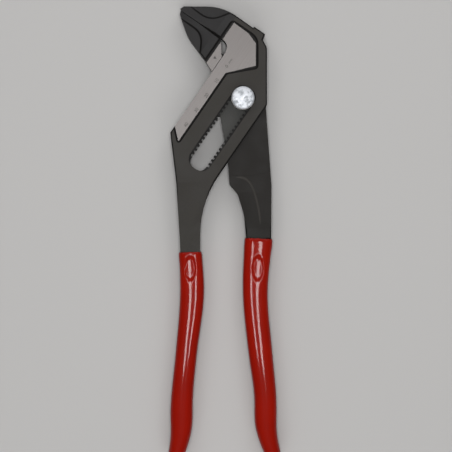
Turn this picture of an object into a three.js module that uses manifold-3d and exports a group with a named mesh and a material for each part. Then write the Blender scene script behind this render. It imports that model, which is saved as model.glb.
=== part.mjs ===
// A pliers wrench that lies on its back with the jaws closed. The left handle, the arm and the upper jaw are one
// forging. The right handle is a lever whose blade runs in a slit through that forging and turns on a toothed bolt.
// The lever's nose drives the lower jaw along a ground guide. Pressing the button frees the bolt in its toothed slot.
// The model is drawn about the pivot: x to the right, y towards the head, z out of the front face, in millimetres.
// Along the slot is u and across it, towards the jaw tips, is v.
import * as THREE from "three";
import { mergeVertices } from "three/addons/utils/BufferGeometryUtils.js";
import Module from "manifold-3d";

// Forging
const SLOT_ANGLE = THREE.MathUtils.degToRad(55.4); // direction of the slot, the guide and the jaw's travel
const BODY_THICK = 14.4;
const SLIT = 6.4; // between the two cheeks
const NECK_THICK = 11.2; // steel of both handles where the grips begin
const EDGE = 0.7; // forged edge chamfer
const BODY_RIGHT = 13.1; // outer face of the arm
const BODY_LOW_EDGE = -13; // lower right side of the cheeks, across the slot
const ARM_EDGE = 35; // back of the arm, along the slot
const ARM_WIDTH = 3.8; // black rim of the arm beside the ground face
const NECK_START = -46; // where the left handle starts to thin
const CORE_RISE = 4; // how far the rounded steel of a handle reaches up into its neck
const LUG_END = 9.9; // forged lug on the back of the arm, across the slot
const LUG_LENGTH = 7.2;
const LUG_RISE = 0.6;

// Jaws
const JAW_FACE = 20.2; // fixed jaw's face, along the slot
const JAW_REACH = 55.2; // jaw tips, across the slot
const JAW_GAP = 0.3; // between the closed faces
const NOSE_RISE = 2.2; // top of the upper jaw above its tip
const NOSE_FLAT = 1; // blunt front of the upper jaw
const THROAT_RADIUS = 6.2; // relief between jaw face and guide
const HEAD_EDGE = 28.4; // where the black head meets the ground neck
const TIP_THICK = 11.4;
const TAPER_START = 33; // where the head starts to thin towards the tips
const FLANK_DEPTH = 0.9; // scalloped flanks of the jaws
const FLANK_ABOVE = 4.2; // flat of the upper jaw left above the jaw line
const FLANK_BELOW = 3.2; // flat of the lower jaw left below it

// Guide
const GUIDE_EDGE = 22; // across the slot
const GUIDE_WIDTH = 6.6;
const GUIDE_END = -38.1; // lower end, along the slot
const STOP_DROP = 1.7; // how far the ground face runs past that end, in the notch of its slanted stop
const STOP_LENGTH = 6.1; // slant of the stop, along the slot
const GROUND_DEPTH = 1; // ground face below the forged face
const GROUND_LOW = 16.7; // lower right corner of the ground face, above the pivot
const GROUND_BEND = -9.2; // where its lower edge turns along the guide
const RIM_RIGHT = 5.6; // black rim at the right of it
const KEY_WIDTH = 2.5; // ribs that hold the jaw to the guide
const KEY_HEIGHT = 1.1;
const KEY_MIDDLE = 19.2; // across the slot

// Toothed slot
const PITCH = 2.5;
const NOTCHES = 16;
const CLOSED_NOTCHES = 12; // reached while the handles stay closed
const SLOT_HALF = 4.9; // to the tooth tips
const TOOTH_DEPTH = 1.1;
const SPACE_MOUTH = 1.6; // tooth space at the tips
const SPACE_FLOOR = 0.9; // tooth space at its bottom
const SLOT_TAIL = 1.5; // how far its rounded lower end runs past the room that the bolt needs

// Bolt and button
const BUTTON_DIAMETER = 12.6;
const BUTTON_RISE = 3.8; // above the front face
const BUTTON_WALL = 1.1;
const BUTTON_TOP = 1.5;
const PRESS = 1.6; // travel of the button
const TEETH_THICK = 1.6; // toothed ledge of the front cheek
const SHANK_RADIUS = 4.6;
const STEM_RADIUS = 3.2;
const WASHER_THICK = 0.5;
const RING_THICK = 0.8;
const RING_GROOVE = 0.6;
const RING_MOUTH = 2.4;
const BOLT_STUB = 0.3; // bolt end past the ring
const WIRE = 0.6;
const COILS = 3;

// Lever
const SWING = THREE.MathUtils.degToRad(24);
const NOSE_ARM = 15;
const NOSE_RADIUS = 3.6;
const NOSE_NECK = 5.2;
const BLADE_THICK = 6;
const BLADE_STEP = 0.2; // ground pivot area, each side
const BLADE_STEP_RADIUS = 42.5;

// Sliding jaw
const TONGUE_WALL = 3.6; // either side of the nose
const NECK_LOW = 2.4; // underside of the neck, along the slot
const TONGUE_HIGH = 13.8;
const TONGUE_DEPTH = 11.7; // inner end of the tongue, across the slot

// Grips
const GRIP_WALL = 0.9;
const GRIP_THICK = 13;
const GRIP_GAP = 0.7; // between the middle of a grip's top edge and the neck above it

// Clearances
const FIT = 0.2;
const GRIP_FIT = 0.15;
const SLIDE_FIT = 0.25;

// Top edges of the two grips below the pivot, their centre lines as x and share of the way down, and widths there
const HANDLE_END = 199; // below the pivot
const LEFT_GRIP = {
  top: 82,
  path: [[-28.9, 0], [-27.9, 0.22], [-30.9, 0.48], [-33.3, 0.69], [-34.2, 0.86], [-37, 1]],
  widths: [12.6, 13.2, 11.8, 12, 13, 14.4],
};
const RIGHT_GRIP = {
  top: 76,
  path: [[8.6, 0], [6.8, 0.25], [9.4, 0.5], [12.2, 0.7], [12.8, 0.86], [16, 1]],
  widths: [15.4, 13.7, 13.2, 12.2, 12.8, 14.2],
};
const GRIP_SQUARE = 4; // squareness of the section at the top edge
const GRIP_ROUND = 2.5; // and at the end
const GRIP_RINGS = 15;
const GRIP_SIDES = 24;
const GRIP_END = 5; // rounding of the closed end
const DOME_STEPS = [0.45, 0.75, 0.95]; // rings of that rounding, as shares of its length

// Derived levels, from the mid plane outwards
const FACE = BODY_THICK / 2;
const SLIT_FACE = SLIT / 2;
const FRONT_LEDGE = SLIT_FACE + TEETH_THICK;
const BLADE_FACE = BLADE_THICK / 2;
const REAR_LEDGE = FACE - FIT - PRESS - BOLT_STUB - RING_THICK;
const BUTTON_RADIUS = BUTTON_DIAMETER / 2;
const RECESS_HALF = BUTTON_RADIUS + SLIDE_FIT;
const SLOT_END = SHANK_RADIUS + 2 * SLIDE_FIT;
const TRAVEL = PITCH * NOTCHES;
const CLOSED_TRAVEL = PITCH * CLOSED_NOTCHES;
const SLIT_TOP = TONGUE_HIGH + 1.6;
const TONGUE_FACE = SLIT_FACE - FIT;
const FAR = 500;

const wasm = await Module();
wasm.setup();

// A place given along the slot and across it, with an optional corner radius.
function uv(u, v, radius = 0) {
  const c = Math.cos(SLOT_ANGLE);
  const s = Math.sin(SLOT_ANGLE);
  return [c * u - s * v, s * u + c * v, radius];
}

// A closed outline through corners [x, y, radius], each rounded by its own radius as far as its edges leave room.
// A sharp corner keeps a straight run beside it that its chamfer can take up.
function outline(corners, chamfer = 0) {
  const shape = new THREE.Shape();
  const room = (edge, otherRadius) =>
    Math.max(0.49 * edge.length(), otherRadius ? 0 : 0.98 * edge.length() - 2 * chamfer);
  corners.forEach(([x, y, radius = 0], i) => {
    const here = new THREE.Vector2(x, y);
    const last = corners.at(i - 1);
    const next = corners[(i + 1) % corners.length];
    const toLast = new THREE.Vector2(last[0], last[1]).sub(here);
    const toNext = new THREE.Vector2(next[0], next[1]).sub(here);
    const turn = Math.PI - toLast.angleTo(toNext);
    const cut = Math.min(radius * Math.tan(turn / 2), room(toLast, last[2]), room(toNext, next[2]));
    const start = toLast.setLength(cut).add(here);
    const end = toNext.setLength(cut).add(here);
    if (i) shape.lineTo(start.x, start.y);
    else shape.moveTo(start.x, start.y);
    if (radius) shape.quadraticCurveTo(x, y, end.x, end.y);
  });
  return shape;
}

// A three.js geometry as a solid that can be joined and cut.
function solid(geometry) {
  geometry.deleteAttribute("normal");
  geometry.deleteAttribute("uv");
  const merged = mergeVertices(geometry, 1e-4);
  const vertProperties = new Float32Array(merged.attributes.position.array);
  const triVerts = new Uint32Array(merged.index.array);
  return new wasm.Manifold(new wasm.Mesh({ numProp: 3, vertProperties, triVerts }));
}

// An outline made into a plate between two levels, with an optional chamfer round both faces. The outline is the
// plate's widest one, or that of its two faces where the chamfer is to flare outwards.
function plate(corners, low, high, chamfer = 0, flare = false) {
  const geometry = new THREE.ExtrudeGeometry(outline(corners, flare ? 0 : chamfer), {
    depth: high - low - 2 * chamfer,
    bevelEnabled: chamfer > 0,
    bevelThickness: chamfer,
    bevelSize: chamfer,
    bevelOffset: flare ? 0 : -chamfer,
    bevelSegments: 1,
    curveSegments: 7,
  });
  return solid(geometry.translate(0, 0, low + chamfer));
}

// The same plate at the front and at the back.
function bothFaces(corners, low, high, chamfer = 0, flare = false) {
  return plate(corners, low, high, chamfer, flare).add(plate(corners, -high, -low, chamfer, flare));
}

// A side view [distance, half thickness] made into a wide slab, turned about z by an angle.
function sideProfile(stations, angle = 0) {
  const back = stations.map(([at, half]) => [at, -half]).reverse();
  const slab = new THREE.ExtrudeGeometry(outline([...stations, ...back]), { depth: FAR, bevelEnabled: false });
  slab.rotateX(Math.PI / 2).rotateZ(Math.PI / 2).translate(-FAR / 2, 0, 0);
  return solid(slab.rotateZ(angle));
}

// A solid of revolution about the pivot from a profile of [radius, z].
function turned(profile, segments = 40) {
  const points = profile.map(([radius, z]) => new THREE.Vector2(radius, z));
  return solid(new THREE.LatheGeometry(points, segments).rotateX(Math.PI / 2));
}

// Where a line across the slot, or along it, crosses a given x or y.
const yAcross = (x, u) => (u - Math.cos(SLOT_ANGLE) * x) / Math.sin(SLOT_ANGLE);
const xAcross = (y, u) => (u - Math.sin(SLOT_ANGLE) * y) / Math.cos(SLOT_ANGLE);
const yAlong = (x, v) => (v + Math.sin(SLOT_ANGLE) * x) / Math.cos(SLOT_ANGLE);

// Rounded steel or rubber of a handle along its centre line, set in from the grip's surface and raised above its top.
function handle({ top, path, widths }, inset, above) {
  const down = (share) => -THREE.MathUtils.lerp(top, HANDLE_END, share);
  const line = new THREE.CatmullRomCurve3(path.map(([x, share]) => new THREE.Vector3(x, down(share), 0)));
  const width = new THREE.SplineCurve(widths.map((w, i) => new THREE.Vector2(i, w)));
  const length = line.getLength();
  const domeStart = 1 - GRIP_END / length;
  const domeEnd = 1 - inset / length;
  const stations = [{ t: 0, scale: 1, lift: above }];
  for (let i = 1; i <= GRIP_RINGS; i++) stations.push({ t: (domeStart * i) / GRIP_RINGS, scale: 1, lift: 0 });
  for (const s of DOME_STEPS) {
    stations.push({ t: domeStart + (domeEnd - domeStart) * s, scale: Math.sqrt(1 - s * s), lift: 0 });
  }
  const rings = stations.map(({ t, scale, lift }) => {
    const along = line.getTangent(t);
    const centre = line.getPoint(t).addScaledVector(along, -lift);
    const power = 2 / THREE.MathUtils.lerp(GRIP_SQUARE, GRIP_ROUND, t);
    const halfWidth = (width.getPoint(t).y / 2 - inset) * scale;
    const halfThick = (GRIP_THICK / 2 - inset) * scale;
    return Array.from({ length: GRIP_SIDES }, (_, k) => {
      const angle = (2 * Math.PI * k) / GRIP_SIDES;
      const across = halfWidth * Math.sign(Math.cos(angle)) * Math.abs(Math.cos(angle)) ** power;
      const up = halfThick * Math.sign(Math.sin(angle)) * Math.abs(Math.sin(angle)) ** power;
      return new THREE.Vector3(centre.x - along.y * across, centre.y + along.x * across, up);
    });
  });
  return loft(rings);
}

// A closed skin over rings of equal count that follow each other along a path.
function loft(rings) {
  const count = rings[0].length;
  const middle = (ring) => ring.reduce((sum, p) => sum.add(p), new THREE.Vector3()).divideScalar(count);
  const points = [...rings.flat(), middle(rings[0]), middle(rings.at(-1))];
  const last = (rings.length - 1) * count;
  const triangles = [];
  for (let k = 0; k < count; k++) {
    const next = (k + 1) % count;
    for (let row = 0; row < last; row += count) {
      triangles.push(row + k, row + next, row + count + next);
      triangles.push(row + k, row + count + next, row + count + k);
    }
    triangles.push(points.length - 2, next, k);
    triangles.push(points.length - 1, last + k, last + next);
  }
  return solid(new THREE.BufferGeometry().setFromPoints(points).setIndex(triangles));
}

// Left and right edge of a handle's steel at the top of its grip, and the height of that edge.
function gripTop({ top, path, widths }) {
  const half = widths[0] / 2 - GRIP_WALL;
  return { left: path[0][0] - half, right: path[0][0] + half, y: GRIP_GAP - top };
}

const NOSE_U = NOSE_ARM * Math.sin(SWING / 2);
const JAW_STROKE = 2 * NOSE_U;
const TONGUE_LOW = NOSE_U - NOSE_RADIUS - FIT - TONGUE_WALL;
const LOW_JAW_FACE = JAW_FACE - JAW_GAP;
const leftTop = gripTop(LEFT_GRIP);
const rightTop = gripTop(RIGHT_GRIP);

// Ground face of the guide, with the slanted stop at its lower end
const groundFace = [
  uv(ARM_EDGE - ARM_WIDTH, HEAD_EDGE, 1.5),
  uv(GUIDE_END - STOP_DROP + 1.5 * STOP_LENGTH, HEAD_EDGE),
  uv(GUIDE_END - STOP_DROP + 1.5 * STOP_LENGTH, GUIDE_EDGE + 0.5 * GUIDE_WIDTH),
  uv(GUIDE_END - STOP_DROP, GUIDE_EDGE - GUIDE_WIDTH, 0.6),
  [GROUND_BEND, yAlong(GROUND_BEND, GUIDE_EDGE - GUIDE_WIDTH), 2.5],
  [BODY_RIGHT - RIM_RIGHT, GROUND_LOW, 1.5],
  [BODY_RIGHT - RIM_RIGHT, yAcross(BODY_RIGHT - RIM_RIGHT, ARM_EDGE - ARM_WIDTH), 7],
];

// Scalloped flanks beside the jaw line
const upperFlank = [
  uv(JAW_FACE + FLANK_ABOVE, JAW_REACH + 5),
  uv(JAW_FACE + FLANK_ABOVE - 0.3, HEAD_EDGE + 10.1, 12),
  uv(ARM_EDGE + 1.5, HEAD_EDGE + 1.8),
  uv(ARM_EDGE + 10, HEAD_EDGE + 1.8),
  uv(ARM_EDGE + 10, JAW_REACH + 5),
];
const lowerFlank = [
  uv(LOW_JAW_FACE - FLANK_BELOW + 0.7, JAW_REACH + 5),
  uv(LOW_JAW_FACE - FLANK_BELOW + 0.2, HEAD_EDGE + 9.8, 10),
  uv(NECK_LOW + 1.6, HEAD_EDGE + 2.6),
  uv(NECK_LOW - 10, HEAD_EDGE + 2.6),
  uv(NECK_LOW - 10, JAW_REACH + 5),
];

// Side view of both jaws, which thin towards the tips
const headTaper = sideProfile(
  [
    [-FAR, FACE],
    [TAPER_START, FACE],
    [JAW_REACH, TIP_THICK / 2],
    [JAW_REACH + 5, TIP_THICK / 2],
  ],
  SLOT_ANGLE,
);

// Left edge of the lever's blade, from its shoulder up to the corner beside the nose
const bladeEdge = [
  [-2.9, -52.4, 8],
  [-7.4, -47.3, 2.5],
  [-8.2, -34, 30],
  uv(-10.4, 9.4, 3),
];

// Slit for the blade and the tongue, deep enough for the blade in its lowest place with the handles closed
const [slideX, slideY] = uv(-CLOSED_TRAVEL - 3 * FIT, 0);
const slit = [
  uv(SLIT_TOP, HEAD_EDGE),
  uv(TONGUE_LOW - JAW_STROKE - CLOSED_TRAVEL - 3 * FIT, HEAD_EDGE),
  ...bladeEdge.map(([x, y]) => [x + slideX, y + slideY]).reverse(),
  [BODY_RIGHT + 5, bladeEdge[0][1] + slideY],
  uv(SLIT_TOP, -3 * BODY_RIGHT),
];

// Slot with a row of tooth spaces on either side, one for each notch that the bolt's two teeth can take
function toothedSlot() {
  const side = [];
  for (let k = 0; k <= NOTCHES + 1; k++) {
    const middle = PITCH / 2 - k * PITCH;
    side.push([middle + SPACE_MOUTH / 2, SLOT_HALF], [middle + SPACE_FLOOR / 2, SLOT_HALF + TOOTH_DEPTH]);
    side.push([middle - SPACE_FLOOR / 2, SLOT_HALF + TOOTH_DEPTH], [middle - SPACE_MOUTH / 2, SLOT_HALF]);
  }
  return [
    uv(SLOT_END, SLOT_HALF, SLOT_HALF),
    ...side.map(([u, v]) => uv(u, v)),
    uv(-TRAVEL - SLOT_END - SLOT_TAIL, SLOT_HALF, SLOT_HALF),
    uv(-TRAVEL - SLOT_END - SLOT_TAIL, -SLOT_HALF, SLOT_HALF),
    ...side.map(([u, v]) => uv(u, -v)).reverse(),
    uv(SLOT_END, -SLOT_HALF, SLOT_HALF),
  ];
}

// Smooth recess over the slot, in which the pressed button and the ring travel
const recess = [
  uv(RECESS_HALF, RECESS_HALF, RECESS_HALF),
  uv(-TRAVEL - RECESS_HALF, RECESS_HALF, RECESS_HALF),
  uv(-TRAVEL - RECESS_HALF, -RECESS_HALF, RECESS_HALF),
  uv(RECESS_HALF, -RECESS_HALF, RECESS_HALF),
];

// A strip along the slot between two distances across it.
function strip(from, to, near, far) {
  return [uv(to, near), uv(to, far), uv(from, far), uv(from, near)];
}

function fixedJawHandle() {
  const [tipX, tipY] = uv(JAW_FACE, JAW_REACH);
  const jawTop = tipY + NOSE_RISE;
  const forging = [
    [tipX + 1.7 * NOSE_FLAT, jawTop],
    [tipX - 0.3 * NOSE_FLAT, tipY + NOSE_FLAT],
    [tipX, tipY],
    uv(JAW_FACE, GUIDE_EDGE, THROAT_RADIUS),
    uv(GUIDE_END, GUIDE_EDGE),
    [-36.5, -46, 80],
    [leftTop.left, leftTop.y],
    [leftTop.right, leftTop.y],
    [leftTop.right, yAlong(leftTop.right, BODY_LOW_EDGE), 58],
    [BODY_RIGHT, yAlong(BODY_RIGHT, BODY_LOW_EDGE), 2.5],
    [BODY_RIGHT, 27.6, 6],
    uv(ARM_EDGE - 2.6, LUG_END - 0.6),
    uv(ARM_EDGE + LUG_RISE, LUG_END),
    uv(ARM_EDGE + LUG_RISE, LUG_END + LUG_LENGTH),
    uv(ARM_EDGE - 0.3, LUG_END + LUG_LENGTH),
    [xAcross(jawTop, ARM_EDGE), jawTop, 28],
  ];
  const thinning = sideProfile([
    [FAR, FACE],
    [NECK_START, FACE],
    [leftTop.y + 4, NECK_THICK / 2],
    [leftTop.y - 1, NECK_THICK / 2],
  ]);
  const keyway = strip(GUIDE_END - 20, SLIT_TOP, KEY_MIDDLE - KEY_WIDTH / 2 - FIT, KEY_MIDDLE + KEY_WIDTH / 2 + FIT);
  return plate(forging, -FACE, FACE, EDGE)
    .intersect(thinning)
    .intersect(headTaper)
    .subtract(bothFaces(groundFace, FACE - GROUND_DEPTH, FACE + 5, GROUND_DEPTH, true))
    .subtract(bothFaces(upperFlank, FACE - FLANK_DEPTH - 1, FACE + 5, 1))
    .subtract(plate(slit, -SLIT_FACE, SLIT_FACE))
    .subtract(plate(keyway, -SLIT_FACE - KEY_HEIGHT, SLIT_FACE + KEY_HEIGHT))
    .subtract(plate(toothedSlot(), -FACE - 1, FACE + 1))
    .subtract(plate(recess, FRONT_LEDGE, FACE + 1))
    .subtract(plate(recess, -FACE - 1, -REAR_LEDGE))
    .add(handle(LEFT_GRIP, GRIP_WALL, CORE_RISE));
}

function slidingJaw() {
  const jaw = [
    uv(LOW_JAW_FACE, JAW_REACH),
    uv(LOW_JAW_FACE, GUIDE_EDGE + THROAT_RADIUS + FIT),
    uv(LOW_JAW_FACE - 1.2, GUIDE_EDGE + THROAT_RADIUS - 0.6),
    uv(LOW_JAW_FACE - 8.2, GUIDE_EDGE + SLIDE_FIT),
    uv(NECK_LOW, GUIDE_EDGE + SLIDE_FIT),
    uv(NECK_LOW + 3, HEAD_EDGE + 0.7, 3),
    [-30.2, 33.3, 25],
    uv(LOW_JAW_FACE - 1.8, JAW_REACH - 0.8),
  ];
  const tongue = [
    uv(TONGUE_LOW, TONGUE_DEPTH, 0.8),
    uv(TONGUE_HIGH, TONGUE_DEPTH, 0.8),
    uv(TONGUE_HIGH, GUIDE_EDGE + 3),
    uv(NECK_LOW + 2, GUIDE_EDGE + 3),
    uv(NECK_LOW + 2, GUIDE_EDGE - FIT),
    uv(TONGUE_LOW, GUIDE_EDGE - FIT, 0.8),
  ];
  const socketHalf = NOSE_RADIUS + FIT;
  const socketFloor = NOSE_ARM + NOSE_RADIUS + 2 * FIT;
  const socket = [
    uv(NOSE_U - socketHalf, TONGUE_DEPTH - 1),
    uv(NOSE_U + socketHalf, TONGUE_DEPTH - 1),
    uv(NOSE_U + socketHalf, socketFloor, 3),
    uv(NOSE_U - socketHalf, socketFloor, 3),
  ];
  const key = strip(TONGUE_LOW + 0.5, TONGUE_HIGH - 0.5, KEY_MIDDLE - KEY_WIDTH / 2, KEY_MIDDLE + KEY_WIDTH / 2);
  const neckFace = strip(NECK_LOW - 10, JAW_FACE + 10, GUIDE_EDGE - 5, HEAD_EDGE);
  const head = plate(jaw, -FACE, FACE, EDGE)
    .intersect(headTaper)
    .subtract(bothFaces(neckFace, FACE - GROUND_DEPTH, FACE + 5, GROUND_DEPTH, true))
    .subtract(bothFaces(lowerFlank, FACE - FLANK_DEPTH - 1, FACE + 5, 1));
  const keyedTongue = plate(tongue, -TONGUE_FACE, TONGUE_FACE)
    .add(bothFaces(key, TONGUE_FACE - 0.5, TONGUE_FACE + KEY_HEIGHT))
    .subtract(plate(socket, -FACE, FACE));
  return head.add(keyedTongue);
}

function leverHandle() {
  const lever = [
    [rightTop.right, rightTop.y],
    [15.7, -48, 40],
    [12.6, -5, 20],
    uv(11.6, -5.5, 6),
    uv(10.4, 8.8, 6),
    ...bladeEdge.toReversed(),
    [0.6, -63.5, 30],
    [rightTop.left, rightTop.y],
  ];
  const thickening = sideProfile([
    [FAR, BLADE_FACE],
    [bladeEdge[0][1] + 1, BLADE_FACE],
    [rightTop.y + 4, NECK_THICK / 2],
    [rightTop.y - 1, NECK_THICK / 2],
  ]);
  const noseAngle = SLOT_ANGLE + Math.PI / 2 - SWING / 2;
  const groundFaceLevel = BLADE_FACE - BLADE_STEP;
  const noseThick = 2 * groundFaceLevel;
  const neck = new THREE.BoxGeometry(NOSE_ARM / 2, NOSE_NECK, noseThick).translate(0.75 * NOSE_ARM, 0, 0);
  const nose = new THREE.CylinderGeometry(NOSE_RADIUS, NOSE_RADIUS, noseThick, 28);
  nose.rotateX(Math.PI / 2).translate(NOSE_ARM, 0, 0);
  const ground = (low, high) => turned([[0, low], [BLADE_STEP_RADIUS, low], [BLADE_STEP_RADIUS, high], [0, high]], 120);
  const bore = SHANK_RADIUS + FIT;
  const teethReach = Math.hypot(SLOT_HALF + TOOTH_DEPTH - FIT, PITCH / 2 + SPACE_FLOOR / 2) + SLIDE_FIT;
  const teethFloor = SLIT_FACE - PRESS;
  return plate(lever, -NECK_THICK / 2, NECK_THICK / 2, EDGE)
    .intersect(thickening)
    .subtract(ground(groundFaceLevel, FACE))
    .subtract(ground(-FACE, -groundFaceLevel))
    .add(solid(neck.rotateZ(noseAngle)))
    .add(solid(nose.rotateZ(noseAngle)))
    .subtract(turned([[0, -FACE], [bore, -FACE], [bore, teethFloor], [teethReach, teethFloor], [teethReach, FACE], [0, FACE]]))
    .add(handle(RIGHT_GRIP, GRIP_WALL, CORE_RISE));
}

// A dipped sleeve round the steel of a handle, closed at its lower end.
function grip(spec) {
  return handle(spec, 0, 0).subtract(handle(spec, GRIP_WALL - GRIP_FIT, CORE_RISE));
}

const RING_LEVEL = REAR_LEDGE + FIT / 2;
const GROOVE_RADIUS = SHANK_RADIUS - RING_GROOVE;
const BOLT_END = RING_LEVEL + RING_THICK + BOLT_STUB;
const BUTTON_CEILING = FACE + BUTTON_RISE - BUTTON_TOP;
const STEM_TOP = BUTTON_CEILING + 0.6 * BUTTON_TOP;
const COLLAR_LOW = SLIT_FACE + FIT;
const COLLAR_HIGH = FRONT_LEDGE - FIT;
const WASHER_LOW = FRONT_LEDGE + FIT / 2;
const WASHER_HIGH = WASHER_LOW + WASHER_THICK;

// Bolt with two lock teeth on either side of its collar, which sit in the tooth spaces of the front cheek.
function pivotBolt() {
  const rootHalf = SPACE_MOUTH / 2 - FIT;
  const tipHalf = SPACE_FLOOR / 2 - FIT / 2;
  const tip = SLOT_HALF + TOOTH_DEPTH - FIT;
  const side = [PITCH / 2, -PITCH / 2].flatMap((middle) => [
    [middle + rootHalf, SHANK_RADIUS],
    [middle + tipHalf, tip],
    [middle - tipHalf, tip],
    [middle - rootHalf, SHANK_RADIUS],
  ]);
  const collar = [
    uv(SHANK_RADIUS, SHANK_RADIUS, SHANK_RADIUS),
    ...side.map(([u, v]) => uv(u, v)),
    uv(-SHANK_RADIUS, SHANK_RADIUS, SHANK_RADIUS),
    uv(-SHANK_RADIUS, -SHANK_RADIUS, SHANK_RADIUS),
    ...side.map(([u, v]) => uv(u, -v)).reverse(),
    uv(SHANK_RADIUS, -SHANK_RADIUS, SHANK_RADIUS),
  ];
  const grooveHigh = -RING_LEVEL + FIT / 2;
  const grooveLow = -RING_LEVEL - RING_THICK - FIT / 2;
  const shank = turned([
    [0, -BOLT_END],
    [SHANK_RADIUS, -BOLT_END],
    [SHANK_RADIUS, grooveLow],
    [GROOVE_RADIUS, grooveLow],
    [GROOVE_RADIUS, grooveHigh],
    [SHANK_RADIUS, grooveHigh],
    [SHANK_RADIUS, COLLAR_LOW + 0.5],
    [STEM_RADIUS, COLLAR_LOW + 0.5],
    [STEM_RADIUS, STEM_TOP],
    [0, STEM_TOP],
  ]);
  return shank.add(plate(collar, COLLAR_LOW, COLLAR_HIGH));
}

// Hollow button with a blind socket for the bolt's stem.
function pushButton() {
  const inside = BUTTON_RADIUS - BUTTON_WALL;
  const socket = STEM_RADIUS + GRIP_FIT;
  const skirt = WASHER_HIGH + PRESS + FIT;
  const top = FACE + BUTTON_RISE;
  return turned([
    [0, STEM_TOP + GRIP_FIT],
    [socket, STEM_TOP + GRIP_FIT],
    [socket, BUTTON_CEILING],
    [inside, BUTTON_CEILING],
    [inside, skirt],
    [BUTTON_RADIUS, skirt],
    [BUTTON_RADIUS, top - 0.9],
    [BUTTON_RADIUS - 0.3, top - 0.4],
    [BUTTON_RADIUS - 0.9, top - 0.15],
    [0, top],
  ], 48);
}

// Coil round the stem, between the washer and the button.
class Coil extends THREE.Curve {
  getPoint(t) {
    const angle = 2 * Math.PI * COILS * t;
    const radius = (STEM_RADIUS + BUTTON_RADIUS - BUTTON_WALL) / 2;
    const low = WASHER_HIGH + (WIRE + FIT) / 2;
    const high = BUTTON_CEILING - (WIRE + FIT) / 2;
    return new THREE.Vector3(radius * Math.cos(angle), radius * Math.sin(angle), low + (high - low) * t);
  }
}

function buttonSpring() {
  const wire = new THREE.Shape(new THREE.EllipseCurve(0, 0, WIRE / 2, WIRE / 2).getPoints(5).slice(0, 5));
  return solid(new THREE.ExtrudeGeometry(wire, { steps: 8 * COILS, extrudePath: new Coil() }));
}

// A flat ring between two levels.
function flatRing(inner, outer, low, high) {
  return turned([[inner, low], [outer, low], [outer, high], [inner, high], [inner, low]]);
}

// Open ring in the groove at the back of the bolt.
function retainingRing() {
  const outer = RECESS_HALF - FIT;
  const mouth = new THREE.BoxGeometry(outer, RING_MOUTH, FACE).translate(outer, 0, -FACE);
  return flatRing(GROOVE_RADIUS + FIT / 2, outer, -RING_LEVEL - RING_THICK, -RING_LEVEL)
    .subtract(solid(mouth.rotateZ(SLOT_ANGLE)));
}

const blackSteel = { color: 0x3a3836, roughness: 0.45, metalness: 0.6 };
const zincSteel = { color: 0xd0d0cc, roughness: 0.3, metalness: 0.8 };
const plainSteel = { color: 0x8c8a86, roughness: 0.4, metalness: 0.9 };
const redVinyl = { color: 0xa01808, roughness: 0.25, metalness: 0 };

// A solid as a named mesh in its own finish.
function piece(name, shape, finish) {
  const { vertProperties, triVerts } = shape.getMesh();
  const geometry = new THREE.BufferGeometry();
  geometry.setAttribute("position", new THREE.BufferAttribute(vertProperties, 3));
  geometry.setIndex(new THREE.BufferAttribute(triVerts, 1));
  geometry.computeVertexNormals();
  const mesh = new THREE.Mesh(geometry, new THREE.MeshStandardMaterial(finish));
  mesh.name = name;
  return mesh;
}

const tool = new THREE.Group();
tool.add(
  piece("fixed_jaw_handle", fixedJawHandle(), blackSteel),
  piece("sliding_jaw", slidingJaw(), blackSteel),
  piece("lever_handle", leverHandle(), blackSteel),
  piece("left_grip", grip(LEFT_GRIP), redVinyl),
  piece("right_grip", grip(RIGHT_GRIP), redVinyl),
  piece("pivot_bolt", pivotBolt(), plainSteel),
  piece("push_button", pushButton(), zincSteel),
  piece("button_spring", buttonSpring(), plainSteel),
  piece("spring_washer", flatRing(STEM_RADIUS + FIT, RECESS_HALF - FIT, WASHER_LOW, WASHER_HIGH), plainSteel),
  piece("retaining_ring", retainingRing(), plainSteel),
);

// The finished tool lies on its back, centred over the origin.
const box = new THREE.Box3().setFromObject(tool);
const centre = box.getCenter(new THREE.Vector3());
tool.position.set(-centre.x, -centre.y, -box.min.z);
const pliersWrench = new THREE.Group();
pliersWrench.add(tool);

export default pliersWrench;
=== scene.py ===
import math

import bmesh
import bpy
from mathutils import Matrix, Vector


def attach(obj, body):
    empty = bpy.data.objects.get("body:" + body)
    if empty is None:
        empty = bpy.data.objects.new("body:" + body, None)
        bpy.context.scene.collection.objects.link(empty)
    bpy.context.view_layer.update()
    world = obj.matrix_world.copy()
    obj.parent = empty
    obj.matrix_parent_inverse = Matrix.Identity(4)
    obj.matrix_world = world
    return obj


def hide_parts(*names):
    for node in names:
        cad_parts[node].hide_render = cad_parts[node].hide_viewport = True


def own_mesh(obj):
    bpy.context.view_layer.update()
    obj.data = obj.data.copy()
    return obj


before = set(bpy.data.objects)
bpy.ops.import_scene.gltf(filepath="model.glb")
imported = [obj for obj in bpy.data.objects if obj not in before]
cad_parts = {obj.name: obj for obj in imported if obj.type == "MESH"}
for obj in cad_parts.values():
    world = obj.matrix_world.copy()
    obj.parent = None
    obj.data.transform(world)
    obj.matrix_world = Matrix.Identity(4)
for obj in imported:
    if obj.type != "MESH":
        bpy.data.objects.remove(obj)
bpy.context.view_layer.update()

# Studio: a pale grey bench seen straight from above, under two long lamps, with a soft box beyond either end.
# The picture is 452 pixels wide at 0.546 mm a pixel, level with the front face of the tool, and its middle
# lies to the left of the pivot and below it.
MM = 0.001
PIXEL = 0.546 * MM
PICTURE_WIDTH = 452 * PIXEL
PIVOT = Vector((10.5895, 74.531, 7.2)) * MM
FRONT = 14.4 * MM
CAMERA_LEFT = 17 * PIXEL
CAMERA_BELOW = 128 * PIXEL
CAMERA_HEIGHT = 1.1


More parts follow.
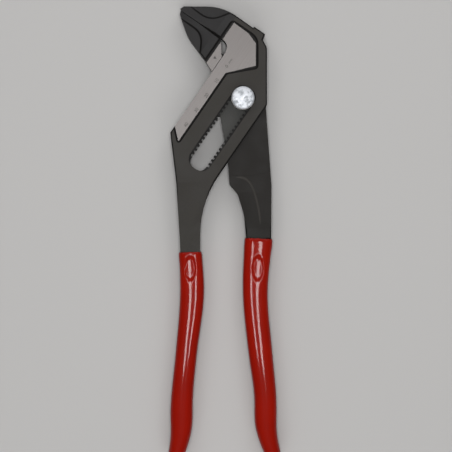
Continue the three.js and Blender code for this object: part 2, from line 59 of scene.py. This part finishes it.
def linear(hex_colour):
    """An sRGB hex colour as linear red, green, blue and alpha."""
    parts = [int(hex_colour[i:i + 2], 16) / 255 for i in (1, 3, 5)]
    return [c / 12.92 if c <= 0.04045 else ((c + 0.055) / 1.055) ** 2.4 for c in parts] + [1.0]


def add(tree, kind, settings=None, inputs=None):
    """A node with its settings and its inputs, each a value or another node's output."""
    node = tree.nodes.new(kind)
    for name, value in (settings or {}).items():
        setattr(node, name, value)
    for name, value in (inputs or {}).items():
        if isinstance(value, bpy.types.NodeSocket):
            tree.links.new(value, node.inputs[name])
        else:
            node.inputs[name].default_value = value
    return node


def surface(name, **constants):
    """A material with its constants on the shader's own sockets, and its tree, shader and coordinates."""
    material = bpy.data.materials.new(name)
    material.use_nodes = True
    shader = material.node_tree.nodes["Principled BSDF"]
    for socket, value in constants.items():
        shader.inputs[socket.replace("_", " ")].default_value = value
    here = add(material.node_tree, "ShaderNodeTexCoord").outputs["Object"]
    return material, material.node_tree, shader, here


camera_data = bpy.data.cameras.new("camera")
camera_data.sensor_width = 36
camera_data.lens = camera_data.sensor_width * CAMERA_HEIGHT / PICTURE_WIDTH
camera = bpy.data.objects.new("camera", camera_data)
camera.location = (PIVOT.x - CAMERA_LEFT, PIVOT.y - CAMERA_BELOW, FRONT + CAMERA_HEIGHT)
bpy.context.scene.collection.objects.link(camera)
bpy.context.scene.camera = camera
bpy.context.scene.view_settings.view_transform = "Standard"

for name, place, size, watts in (
    ("lamp_left", (-0.07, 0.02, 1.0), (0.05, 0.33), 1.7),
    ("lamp_right", (0.07, 0.02, 1.0), (0.05, 0.33), 1.7),
    ("soft_box_top", (0.0, 1.0, 0.9), (1.6, 0.8), 8.0),
    ("soft_box_bottom", (0.0, -1.0, 0.9), (1.6, 0.8), 6.5),
):
    lamp = bpy.data.lights.new(name, "AREA")
    lamp.shape = "RECTANGLE"
    lamp.size, lamp.size_y = size
    lamp.energy = watts
    box = bpy.data.objects.new(name, lamp)
    box.location = place
    box.rotation_euler = (-math.atan2(place[1], place[2]), 0, 0)
    bpy.context.scene.collection.objects.link(box)

world = bpy.data.worlds.new("sky")
world.use_nodes = True
world.node_tree.nodes["Background"].inputs["Color"].default_value = linear("#dcdad8")
world.node_tree.nodes["Background"].inputs["Strength"].default_value = 0.25
bpy.context.scene.world = world

bench = bmesh.new()
bmesh.ops.create_grid(bench, x_segments=1, y_segments=1, size=2.0)
bench_mesh = bpy.data.meshes.new("bench")
bench.to_mesh(bench_mesh)
bench_top = bpy.data.objects.new("bench", bench_mesh)
bpy.context.scene.collection.objects.link(bench_top)
# Bench paint: flat pale grey, without a pattern.
bench_paint, _, _, _ = surface("bench_paint", Base_Color=linear("#bfbebd"), Roughness=0.8)
bench_mesh.materials.append(bench_paint)


# Forgings: the left handle with the upper jaw, the sliding jaw and the lever are drop forged tool steel,
# blasted and phosphated to a dull dark grey. The guide, the jaw's neck and the jaw faces are then ground
# bright, while what lies out of the wheel's reach stays black. The broken edges and slopes are black in part
# and painted darker as painted shade, and the ledge in the slot and a band at the foot of the head's step
# are painted shade.
SLOT_ANGLE = math.radians(55.4)
ALONG_SLOT = Matrix.Rotation(SLOT_ANGLE, 3, "Z")
EDGE_ROUND = 0.22 * MM
WELD = 0.001 * MM
# Degrees: bends that count as flat, edges that are broken, and creases that stay in the shading
FLAT_BEND = 1
BROKEN_EDGE = 28
FORGED_CREASE = 24
# Levels from the mid plane, and places along the slot and across it from the pivot, in millimetres
GROUND_LEVEL = 6.2
LEDGE_LEVEL = 4.8
SLOT_REACH = 7.0
GUIDE_EDGE = 22.0
GUIDE_FOOT = 15.7
HEAD_EDGE = 28.4
JAW_FACE = 20.2
BLADE_EDGE = -12.0
GUIDE_GAP = 0.25
JAW_GAP = 0.3
NEAR = 0.12
NEAR_LEDGE = 0.4
# How much of a face's normal points up or down: at most on a wall, at least on a slope, at least on a level
# face, and at least on a face that is shaded flat
WALL_LEAN = 0.3
SLOPE_LEAN = 0.5
LEVEL_LEAN = 0.9
FLAT_LEAN = 0.999
# Lines that the grinding wheel stops at, as a direction along and across the slot and how far it reaches; the
# first stops 1 mm short of the head's step, so that the band at its foot takes the black scale as painted
# shade.
# The rim's line counts below the guide's foot only.
WHEEL_AND_SHADE_LIMITS = (((0.0, 1.0), HEAD_EDGE - 1.0), ((1.0, -0.03), 30.3), ((1.0, -0.336), 24.9),
                ((math.cos(SLOT_ANGLE), -math.sin(SLOT_ANGLE)), 7.0))
RIM_LIMIT = ((-0.686, -0.766), -16.0)
# The lowest part of the handles, where the solids flare and the real ones narrow: how far below the pivot it
# starts, how long it is, what share of that its soft start takes, and what share of the width goes
TAPER_TOP = 175.8
TAPER_LENGTH = 23.2
TAPER_BLEND = 0.25
TAPER_CUT = 0.44
# Where each handle's middle is at the start, how it bends on the way down, and how far it is shifted
LEFT_TAPER = (-33.8, (-1.2, -2.24), (1.5, -1.9))
RIGHT_TAPER = (12.5, (1.04, 2.84), (-0.3, 2.0))
# Level of the steel's shoulder at each grip's upper lip, and how far both go down to where the real lip is
SHOULDER_DEPTH = 0.8
LEFT_LIP = (-81.3, 2.8)
RIGHT_LIP = (-75.0, 1.7)
# Line of the low ridge round the thick part of the lever, from the pivot. Its levels follow the face,
# but both ends sink into it, so that the ridge fades out.
RIDGE_LINE = ((-6.3, -43.5, 2.6), (-3.3, -43.0, 2.9), (0.2, -43.3, 3.0), (3.2, -45.2, 3.0), (5.2, -48.6, 3.0),
              (6.5, -52.0, 3.1), (8.2, -58.5, 3.93), (9.2, -64.0, 4.65), (9.6, -70.5, 5.25))
RIDGE_RADIUS = 1.4
RIDGE_HEIGHT = 0.2
# Sockets known by number, because the nodes have hidden ones of the same name
COLOUR_A, COLOUR_B, COLOUR_OUT = 6, 7, 2
FROM_MIN, FROM_MAX, TO_MIN, TO_MAX = 1, 2, 3, 4
# Material slots of a forging: its coat, the ground steel, the black scale, which also carries painted shade,
# and last its coat beyond a line along the slot
COAT, GROUND, SCALE_AND_SHADE, FAR_COAT = range(4)


def phosphate(name, dark, light):
    """Phosphate: dull and faintly clouded, with a crystal grain drawn at 0.45 mm so that it shows."""
    material, tree, shader, here = surface(name, IOR=1.5, Specular_IOR_Level=0.25)
    cloud = add(tree, "ShaderNodeTexNoise", inputs={"Vector": here, "Scale": 1 / (11 * MM), "Detail": 4.0})
    grain = add(tree, "ShaderNodeTexNoise", inputs={"Vector": here, "Scale": 1 / (0.45 * MM), "Detail": 3.0})
    tone = add(tree, "ShaderNodeMix", {"data_type": "RGBA"},
               {"Factor": cloud.outputs["Fac"], COLOUR_A: linear(dark), COLOUR_B: linear(light)})
    speck = add(tree, "ShaderNodeMapRange",
                inputs={"Value": grain.outputs["Fac"],
                        FROM_MIN: 0.3, FROM_MAX: 0.7, TO_MIN: 0.84, TO_MAX: 1.14})
    coat = add(tree, "ShaderNodeMix", {"data_type": "RGBA", "blend_type": "MULTIPLY"},
               {"Factor": 1.0, COLOUR_A: tone.outputs[COLOUR_OUT], COLOUR_B: speck.outputs["Result"]})
    tree.links.new(coat.outputs[COLOUR_OUT], shader.inputs["Base Color"])
    dull = add(tree, "ShaderNodeMapRange",
               inputs={"Value": cloud.outputs["Fac"],
                       FROM_MIN: 0.3, FROM_MAX: 0.7, TO_MIN: 0.52, TO_MAX: 0.64})
    tree.links.new(dull.outputs["Result"], shader.inputs["Roughness"])
    bump = add(tree, "ShaderNodeBump",
               inputs={"Height": grain.outputs["Fac"], "Strength": 0.25, "Distance": 0.05 * MM})
    tree.links.new(bump.outputs["Normal"], shader.inputs["Normal"])
    return material


# Surface ground steel: bright but oily, with wheel marks 20 mm long along the guide.
ground_steel, tree, shader, here = surface("ground_tool_steel", Metallic=0.6)
wheel = add(tree, "ShaderNodeMapping", {"vector_type": "TEXTURE"},
            {"Vector": here, "Location": PIVOT, "Rotation": (0, 0, SLOT_ANGLE),
             "Scale": (20 * MM, 0.42 * MM, MM)})
scratch = add(tree, "ShaderNodeTexNoise",
              inputs={"Vector": wheel.outputs["Vector"], "Scale": 1.0, "Detail": 5.0})
tone = add(tree, "ShaderNodeMix", {"data_type": "RGBA"},
           {"Factor": scratch.outputs["Fac"], COLOUR_A: linear("#5d5958"), COLOUR_B: linear("#777371")})
tree.links.new(tone.outputs[COLOUR_OUT], shader.inputs["Base Color"])
sheen = add(tree, "ShaderNodeMapRange",
            inputs={"Value": scratch.outputs["Fac"],
                    FROM_MIN: 0.3, FROM_MAX: 0.7, TO_MIN: 0.38, TO_MAX: 0.46})
tree.links.new(sheen.outputs["Result"], shader.inputs["Roughness"])
bump = add(tree, "ShaderNodeBump",
           inputs={"Height": scratch.outputs["Fac"], "Strength": 0.25, "Distance": 0.05 * MM})
tree.links.new(bump.outputs["Normal"], shader.inputs["Normal"])

# Forge scale and painted shade: the black skin that forging leaves, drawn like the phosphate over it but
# darker.
# On slopes, broken edges, the ledge in the slot and the band at the foot of the head's step it is painted
# shade.
forge_scale_and_shade = phosphate("black_scale_and_painted_shade", "#0b0a09", "#12100f")


def from_pivot(place):
    """A place as distances along the slot, across it and from the mid plane, in millimetres."""
    return ALONG_SLOT.inverted() @ (place - PIVOT) / MM


def cut(mesh, faces, direction, reach):
    """Splits faces along a line that lies at a reach in a direction, given along the slot and across it."""
    normal = Vector((*direction, 0.0))
    middle = PIVOT + ALONG_SLOT @ (normal * reach / normal.length_squared) * MM
    edges = {edge for face in faces for edge in face.edges}
    verts = {vert for face in faces for vert in face.verts}
    bmesh.ops.bisect_plane(mesh, geom=[*faces, *edges, *verts], dist=WELD, plane_co=middle,
                           plane_no=ALONG_SLOT @ normal)


def is_ground_level(face):
    """Whether a face lies level with the ground faces, at the front or at the back."""
    _, v, z = from_pivot(face.calc_center_median())
    return abs(face.normal.z) > LEVEL_LEAN and abs(abs(z) - GROUND_LEVEL) < NEAR and 0 < v < HEAD_EDGE + NEAR


def within(face, limit):
    """Whether a face's middle lies on the near side of a limit."""
    (along, across), reach = limit
    u, v, _ = from_pivot(face.calc_center_median())
    return along * u + across * v < reach


def finish_of(face, guide_wall, jaw_wall, far_line):
    """Which finish a face of a forging has, from where it lies and how it leans. Black scale on slopes,
    broken edges, the ledge in the slot and the band at the step's foot is painted shade.
    """
    u, v, z = from_pivot(face.calc_center_median())
    lean = abs(face.normal.z)
    if is_ground_level(face):
        reached = all(within(face, limit) for limit in WHEEL_AND_SHADE_LIMITS)
        return GROUND if reached and (within(face, RIM_LIMIT) or v > GUIDE_FOOT) else SCALE_AND_SHADE
    if lean < WALL_LEAN and (abs(v - guide_wall) < NEAR or abs(u - jaw_wall) < NEAR):
        return GROUND
    # Slopes and broken edges, and the ledge in the slot, take the black scale as painted shade.
    if SLOPE_LEAN < lean < LEVEL_LEAN or (abs(z - LEDGE_LEVEL) < NEAR_LEDGE and abs(v) < SLOT_REACH):
        return SCALE_AND_SHADE
    return FAR_COAT if v > far_line else COAT


def draw_in(verts, taper):
    """Narrows the lowest part of a handle towards its real centre line, with a soft start."""
    middle, bend, shift = taper
    for vert in verts:
        run = (PIVOT.y - TAPER_TOP * MM - vert.co.y) / (TAPER_LENGTH * MM)
        low = max(0.0, run) if abs(run) > TAPER_BLEND else (run + TAPER_BLEND) ** 2 / (4 * TAPER_BLEND)
        centre = PIVOT.x + (middle + bend[0] * low + bend[1] * low * low) * MM
        moved = centre + (shift[0] * low + shift[1] * low * low) * MM
        if low:
            vert.co.x = moved + (vert.co.x - centre) * (1 - TAPER_CUT * low)


def finished(mesh, name, body, materials, crease=40):
    """A mesh as a piece that rides on a body, smooth apart from creases over some degrees."""
    data = bpy.data.meshes.new(name)
    mesh.to_mesh(data)
    data.shade_smooth()
    data.set_sharp_from_angle(angle=math.radians(crease))
    for material in materials:
        data.materials.append(material)
    piece = bpy.data.objects.new(name, data)
    bpy.context.scene.collection.objects.link(piece)
    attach(piece, body)
    return piece


def forging(node, name, body, coats, walls, far_line, lip=None, taper=None):
    """A forging with its edges broken, in place of the plain solid, with a finish on each face."""
    mesh = bmesh.new()
    mesh.from_mesh(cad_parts[node].data)
    bmesh.ops.remove_doubles(mesh, verts=mesh.verts, dist=WELD)
    bmesh.ops.dissolve_limit(mesh, angle_limit=math.radians(FLAT_BEND), verts=mesh.verts, edges=mesh.edges)
    bend = math.radians(BROKEN_EDGE)
    sharp = [edge for edge in mesh.edges if edge.is_manifold and edge.calc_face_angle() > bend]
    bmesh.ops.bevel(mesh, geom=sharp, offset=EDGE_ROUND, offset_type="OFFSET", affect="EDGES", segments=2,
                    profile=0.5, material=-1, clamp_overlap=True)
    cut(mesh, mesh.faces[:], (0.0, 1.0), far_line)
    for direction, reach in (*WHEEL_AND_SHADE_LIMITS, RIM_LIMIT, ((0.0, -1.0), -GUIDE_FOOT)):
        cut(mesh, [face for face in mesh.faces if is_ground_level(face)], direction, reach)
    for face in mesh.faces:
        face.material_index = finish_of(face, *walls, far_line)
    if lip:
        level, drop = lip
        shoulder = [vert for vert in mesh.verts if abs((vert.co.y - PIVOT.y) / MM - level) < SHOULDER_DEPTH]
        bmesh.ops.translate(mesh, vec=(0, -drop * MM, 0), verts=shoulder)
    if taper:
        draw_in(mesh.verts, taper)
    coat, far_coat = coats
    materials = (coat, ground_steel, forge_scale_and_shade, far_coat)
    piece = finished(mesh, name, body, materials, FORGED_CREASE)
    for polygon in piece.data.polygons:
        polygon.use_smooth = abs(polygon.normal.z) < FLAT_LEAN
    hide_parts(node)


# One phosphate in four states: grey on the body, darker on the head, darkest on the lever, and painted pale
# on the lever's blade, which slides between the cheeks: painted light that lifts the shade in the slot.
body_coat = phosphate("phosphated_body", "#2c2a27", "#373430")
head_coat = phosphate("phosphated_head", "#242324", "#2b2a2a")
lever_coat = phosphate("phosphated_lever", "#161310", "#1e1b18")
blade_coat_painted_light = phosphate("lever_blade_painted_light", "#3a3a38", "#464644")
forging("fixed_jaw_handle", "forged_handle_and_jaw", "fixed_handle", (body_coat, head_coat),
        (GUIDE_EDGE, JAW_FACE), HEAD_EDGE, LEFT_LIP, LEFT_TAPER)
forging("sliding_jaw", "forged_sliding_jaw", "jaw", (body_coat, head_coat),
        (GUIDE_EDGE + GUIDE_GAP, JAW_FACE - JAW_GAP), HEAD_EDGE)
forging("lever_handle", "forged_lever", "lever", (lever_coat, blade_coat_painted_light),
        (math.inf, math.inf), BLADE_EDGE, RIGHT_LIP, RIGHT_TAPER)

# The ridge is a round bead sunk into the lever, one on each side, so that only its crown stands out.
# It takes the body's paler phosphate, a painted highlight along its crown.
ridge_line = bpy.data.curves.new("ridge", "CURVE")
ridge_line.dimensions = "3D"
ridge_line.bevel_depth = RIDGE_RADIUS * MM
ridge_line.use_fill_caps = True
for side in (1, -1):
    spline = ridge_line.splines.new("NURBS")
    spline.points.add(len(RIDGE_LINE) - 1)
    spline.use_endpoint_u = True
    for point, (x, y, level) in zip(spline.points, RIDGE_LINE):
        sunk = Vector((x, y, side * (level + RIDGE_HEIGHT - RIDGE_RADIUS)))
        point.co = (*(PIVOT + sunk * MM), 1.0)
ridge_curve = bpy.data.objects.new("ridge", ridge_line)
bpy.context.scene.collection.objects.link(ridge_curve)
ridge = bmesh.new()
ridge_tube = ridge_curve.evaluated_get(bpy.context.evaluated_depsgraph_get())
ridge.from_mesh(bpy.data.meshes.new_from_object(ridge_tube))
bpy.data.objects.remove(ridge_curve)
bmesh.ops.remove_doubles(ridge, verts=ridge.verts, dist=WELD)
bmesh.ops.recalc_face_normals(ridge, faces=ridge.faces)
finished(ridge, "forged_lever_ridge", "lever", (body_coat,))


# Grips: both handles are dipped in soft red vinyl, which leaves a thin glossy skin with a soft upper lip.
# It follows the steel under it, so a shallow oval hollow shows near the top of each.
HOLLOW_DEPTH = 0.45 * MM
HOLLOW_SIZE = (3.4 * MM, 7.5 * MM)
HOLLOW_DROP = 93.0 * MM
LEFT_HOLLOW = -28.9 * MM
RIGHT_HOLLOW = 8.1 * MM
# As shares of the hollow's size: where it starts, how wide its slope is, and how far out skin is subdivided
HOLLOW_START = 1.05
HOLLOW_SLOPE = 0.4
HOLLOW_PATCH = 1.4
HOLLOW_CUTS = 3
FRONT_SKIN = PIVOT.z + 6.0 * MM
FACE_JOIN = math.radians(50)
SHAPE_JOIN = math.radians(70)
SMOOTH_LEVELS = 2
SETTLE_ROUNDS = 5
LIP_DEPTH = 1.5 * MM

# Dipped vinyl: an even, deep red with slow sags of 17 mm, a clear gloss and a skin that ripples by the 7 mm.
red_vinyl, tree, shader, here = surface(
    "dipped_red_vinyl", IOR=1.53, Specular_IOR_Level=0.02, Coat_Weight=0.25, Coat_Roughness=0.06)
sag = add(tree, "ShaderNodeTexNoise", inputs={"Vector": here, "Scale": 1 / (17 * MM), "Detail": 3.0})
tint = add(tree, "ShaderNodeMix", {"data_type": "RGBA"},
           {"Factor": sag.outputs["Fac"], COLOUR_A: linear("#840e02"), COLOUR_B: linear("#981303")})
tree.links.new(tint.outputs[COLOUR_OUT], shader.inputs["Base Color"])
dust = add(tree, "ShaderNodeTexNoise", inputs={"Vector": here, "Scale": 1 / (1.1 * MM), "Detail": 4.0})
gloss = add(tree, "ShaderNodeMapRange",
            inputs={"Value": dust.outputs["Fac"], FROM_MIN: 0.3, FROM_MAX: 0.75, TO_MIN: 0.3, TO_MAX: 0.42})
tree.links.new(gloss.outputs["Result"], shader.inputs["Roughness"])
ripple = add(tree, "ShaderNodeTexNoise", inputs={"Vector": here, "Scale": 1 / (7 * MM), "Detail": 2.0})
skin_bump = add(tree, "ShaderNodeBump",
                inputs={"Height": ripple.outputs["Fac"], "Strength": 0.07, "Distance": 0.3 * MM})
tree.links.new(skin_bump.outputs["Normal"], shader.inputs["Normal"])


def sleeve(node, name, body, hollow_x, lip, taper):
    """A dipped skin over a handle, with its oval hollow and its lip drawn down to where the dip ends.
    It is smoothed from the plain solid, whose points are pushed out until the skin passes where they were."""
    mesh = bmesh.new()
    mesh.from_mesh(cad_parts[node].data)
    bmesh.ops.remove_doubles(mesh, verts=mesh.verts, dist=WELD)
    bmesh.ops.join_triangles(mesh, faces=mesh.faces, angle_face_threshold=FACE_JOIN,
                             angle_shape_threshold=SHAPE_JOIN)
    lip_edge = max(vert.co.y for vert in mesh.verts) - LIP_DEPTH
    rim = [vert for vert in mesh.verts if vert.co.y > lip_edge]
    _, drop = lip
    bmesh.ops.translate(mesh, vec=(0, -drop * MM, 0), verts=rim)
    data = bpy.data.meshes.new(name)
    mesh.to_mesh(data)
    piece = bpy.data.objects.new(name, data)
    bpy.context.scene.collection.objects.link(piece)
    smooth = piece.modifiers.new("smooth", "SUBSURF")
    smooth.levels = smooth.render_levels = SMOOTH_LEVELS
    wanted = [vertex.co.copy() for vertex in data.vertices]
    for _ in range(SETTLE_ROUNDS):
        reached = piece.evaluated_get(bpy.context.evaluated_depsgraph_get()).data
        moves = [place - reached.vertices[i].co for i, place in enumerate(wanted)]
        for vertex, move in zip(data.vertices, moves):
            vertex.co += move
        data.update()
    skin = bmesh.new()
    skin.from_object(piece, bpy.context.evaluated_depsgraph_get())
    piece.modifiers.clear()
    centre = PIVOT + Vector((hollow_x, -HOLLOW_DROP, 0))

    def away(vert):
        """How far a point of the front skin lies from the middle of the hollow, as a share of its size."""
        if vert.co.z < FRONT_SKIN:
            return math.inf
        return math.hypot((vert.co.x - centre.x) / HOLLOW_SIZE[0], (vert.co.y - centre.y) / HOLLOW_SIZE[1])

    around = [edge for edge in skin.edges if max(away(vert) for vert in edge.verts) < HOLLOW_PATCH]
    bmesh.ops.subdivide_edges(skin, edges=around, cuts=HOLLOW_CUTS, use_grid_fill=True)
    for vert in skin.verts:
        share = min(1.0, max(0.0, (HOLLOW_START - away(vert)) / HOLLOW_SLOPE))
        vert.co.z -= HOLLOW_DEPTH * share * share * (3 - 2 * share)
    draw_in(skin.verts, taper)
    skin.to_mesh(data)
    data.shade_smooth()
    data.materials.append(red_vinyl)
    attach(piece, body)
    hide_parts(node)


sleeve("left_grip", "dipped_left_grip", "fixed_handle", LEFT_HOLLOW, LEFT_LIP, LEFT_TAPER)
sleeve("right_grip", "dipped_right_grip", "lever", RIGHT_HOLLOW, RIGHT_LIP, RIGHT_TAPER)


# Bolt set: a hardened bolt with two lock teeth a side, a flat washer, a wire coil and an open ring at the
# back. All are turned, stamped or wound from bare steel, lightly oiled.
COIL_RADIUS = 4.2 * MM
COIL_TURNS = 3
COIL_TURN_STEPS = 28
COIL_STEPS = COIL_TURN_STEPS * COIL_TURNS
COIL_LOW = 5.8 * MM
COIL_RISE = 3.3 * MM
WIRE_RADIUS = 0.3 * MM
WIRE_SIDES = 10

# Oiled bare steel: mid grey and fairly bright, with a patchy film of oil by the 2 mm.
bare_steel, tree, shader, here = surface("oiled_bare_steel", Metallic=1.0)
film = add(tree, "ShaderNodeTexNoise", inputs={"Vector": here, "Scale": 1 / (2 * MM), "Detail": 4.0})
tone = add(tree, "ShaderNodeMix", {"data_type": "RGBA"},
           {"Factor": film.outputs["Fac"], COLOUR_A: linear("#6c6966"), COLOUR_B: linear("#8f8b87")})
tree.links.new(tone.outputs[COLOUR_OUT], shader.inputs["Base Color"])
sheen = add(tree, "ShaderNodeMapRange",
            inputs={"Value": film.outputs["Fac"], FROM_MIN: 0.3, FROM_MAX: 0.7, TO_MIN: 0.28, TO_MAX: 0.45})
tree.links.new(sheen.outputs["Result"], shader.inputs["Roughness"])
for node in ("pivot_bolt", "spring_washer", "retaining_ring"):
    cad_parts[node].data.materials.clear()
    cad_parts[node].data.materials.append(bare_steel)

coil = bmesh.new()
wire_start = Matrix.Translation(PIVOT + Vector((COIL_RADIUS, 0, COIL_LOW)))
wire_start = wire_start @ Matrix.Rotation(math.pi / 2, 4, "X")
bmesh.ops.create_circle(coil, segments=WIRE_SIDES, radius=WIRE_RADIUS, cap_ends=True, matrix=wire_start)
bmesh.ops.spin(coil, geom=coil.faces[:] + coil.edges[:] + coil.verts[:], cent=PIVOT, axis=(0, 0, 1),
               dvec=(0, 0, COIL_RISE / COIL_STEPS), angle=2 * math.pi * COIL_TURNS, steps=COIL_STEPS)
bmesh.ops.recalc_face_normals(coil, faces=coil.faces)
wire_coil = finished(coil, "wire_coil", "carriage", (bare_steel,))
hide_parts("button_spring")
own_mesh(wire_coil)


# Push button: a turned steel cap over the bolt's stem, zinc plated to a pale silver and scuffed by use.
# It stands proud of the front face, with a small rounded rim, and is pressed on to the stem.
BUTTON_STEPS = 72
# Half of the cap's section, as radius and height over the mid plane in millimetres
BUTTON_PROFILE = ((0, 10.55), (3.35, 10.55), (3.35, 9.5), (5.2, 9.5), (5.2, 7.2), (6.3, 7.2), (6.3, 10.2),
                  (6.22, 10.5), (6.0, 10.72), (5.7, 10.82), (5.2, 10.88), (0, 11.0))

# Zinc plate: pale and half bright, with grey scuffs 1 to 2 mm across that are duller than the plate.
zinc, tree, shader, here = surface("scuffed_zinc_plate", Metallic=0.45)
patch = add(tree, "ShaderNodeTexNoise",
            inputs={"Vector": here, "Scale": 1 / (2.4 * MM), "Detail": 5.0, "Roughness": 0.7})
scuff = add(tree, "ShaderNodeMapRange",
            inputs={"Value": patch.outputs["Fac"], FROM_MIN: 0.42, FROM_MAX: 0.5, TO_MIN: 0.0, TO_MAX: 1.0})
pale = add(tree, "ShaderNodeMix", {"data_type": "RGBA"},
           {"Factor": scuff.outputs["Result"], COLOUR_A: linear("#93979c"), COLOUR_B: linear("#b7babf")})
tree.links.new(pale.outputs[COLOUR_OUT], shader.inputs["Base Color"])
worn = add(tree, "ShaderNodeMapRange",
           inputs={"Value": patch.outputs["Fac"], FROM_MIN: 0.3, FROM_MAX: 0.7, TO_MIN: 0.55, TO_MAX: 0.32})
tree.links.new(worn.outputs["Result"], shader.inputs["Roughness"])
dent = add(tree, "ShaderNodeBump",
           inputs={"Height": patch.outputs["Fac"], "Strength": 0.3, "Distance": 0.05 * MM})
tree.links.new(dent.outputs["Normal"], shader.inputs["Normal"])

button = bmesh.new()
verts = [button.verts.new(PIVOT + Vector((radius, 0, height)) * MM) for radius, height in BUTTON_PROFILE]
edges = [button.edges.new(pair) for pair in zip(verts, verts[1:])]
bmesh.ops.spin(button, geom=verts + edges, cent=PIVOT, axis=(0, 0, 1), angle=2 * math.pi,
               steps=BUTTON_STEPS, use_merge=True)
bmesh.ops.remove_doubles(button, verts=button.verts, dist=WELD)
bmesh.ops.recalc_face_normals(button, faces=button.faces)
cap = finished(button, "push_button_cap", "bolt", (zinc,))
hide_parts("push_button")


# Opening scale: plain figures along the ground guide for the opening in tens of millimetres, and a pointer
# on the jaw's neck. They are burnt in by laser, which leaves the steel dark and dull.
ETCH_HEIGHT = 0.02 * MM
FIGURE_WELD = 0.0005 * MM
FIGURE_SIZE = 2.6 * MM
FIGURE_COUNT = 5
# Places along the slot and across it, in millimetres, with the figures' step as measured in the photograph
FIGURE_LINE = 17.2
FIGURE_START = 9.3
FIGURE_STEP = 9.73
FIGURES = [(str(10 * i), FIGURE_START - FIGURE_STEP * i, FIGURE_SIZE) for i in range(FIGURE_COUNT)]
UNIT = ("mm", 12.7, 0.7 * FIGURE_SIZE)
POINTER_TIP = (9.45, 24.0)
POINTER_SHAPE = ((-0.8, 1.7, 0), (0.8, 1.7, 0), (0, 0, 0))

# Laser etched steel: a matt dark oxide, mottled by the 0.7 mm.
etched, tree, shader, here = surface("laser_etched_steel", Metallic=0.3)
burn = add(tree, "ShaderNodeTexNoise", inputs={"Vector": here, "Scale": 1 / (0.7 * MM), "Detail": 3.0})
soot = add(tree, "ShaderNodeMix", {"data_type": "RGBA"},
           {"Factor": burn.outputs["Fac"], COLOUR_A: linear("#2b2927"), COLOUR_B: linear("#4a4745")})
tree.links.new(soot.outputs[COLOUR_OUT], shader.inputs["Base Color"])
dull = add(tree, "ShaderNodeMapRange",
           inputs={"Value": burn.outputs["Fac"], FROM_MIN: 0.3, FROM_MAX: 0.7, TO_MIN: 0.6, TO_MAX: 0.8})
tree.links.new(dull.outputs["Result"], shader.inputs["Roughness"])


def on_ground_face(u, v):
    """The place of a mark on the ground face, along the slot and across it, turned along the slot."""
    place = PIVOT + ALONG_SLOT @ Vector((u, v, GROUND_LEVEL)) * MM
    return Matrix.Translation(place) @ ALONG_SLOT.to_4x4()


scale = bmesh.new()
for figure, u, size in (*FIGURES, UNIT):
    curve = bpy.data.curves.new("figure", "FONT")
    curve.body = figure
    curve.size = size
    curve.align_x = curve.align_y = "CENTER"
    curve.extrude = ETCH_HEIGHT
    text = bpy.data.objects.new("figure", curve)
    bpy.context.scene.collection.objects.link(text)
    outline = bpy.data.meshes.new_from_object(text.evaluated_get(bpy.context.evaluated_depsgraph_get()))
    outline.transform(on_ground_face(u, FIGURE_LINE))
    scale.from_mesh(outline)
    bpy.data.objects.remove(text)
bmesh.ops.remove_doubles(scale, verts=scale.verts, dist=FIGURE_WELD)
finished(scale, "opening_scale", "fixed_handle", (etched,))

pointer = bmesh.new()
corners = [on_ground_face(*POINTER_TIP) @ (Vector(corner) * MM) for corner in POINTER_SHAPE]
arrow = pointer.faces.new([pointer.verts.new(corner) for corner in corners])
raised = bmesh.ops.extrude_face_region(pointer, geom=[arrow])
top = [element for element in raised["geom"] if isinstance(element, bmesh.types.BMVert)]
bmesh.ops.translate(pointer, vec=(0, 0, ETCH_HEIGHT), verts=top)
bmesh.ops.translate(pointer, vec=(0, 0, -0.5 * ETCH_HEIGHT), verts=pointer.verts)
bmesh.ops.recalc_face_normals(pointer, faces=pointer.faces)
finished(pointer, "jaw_pointer", "jaw", (etched,))
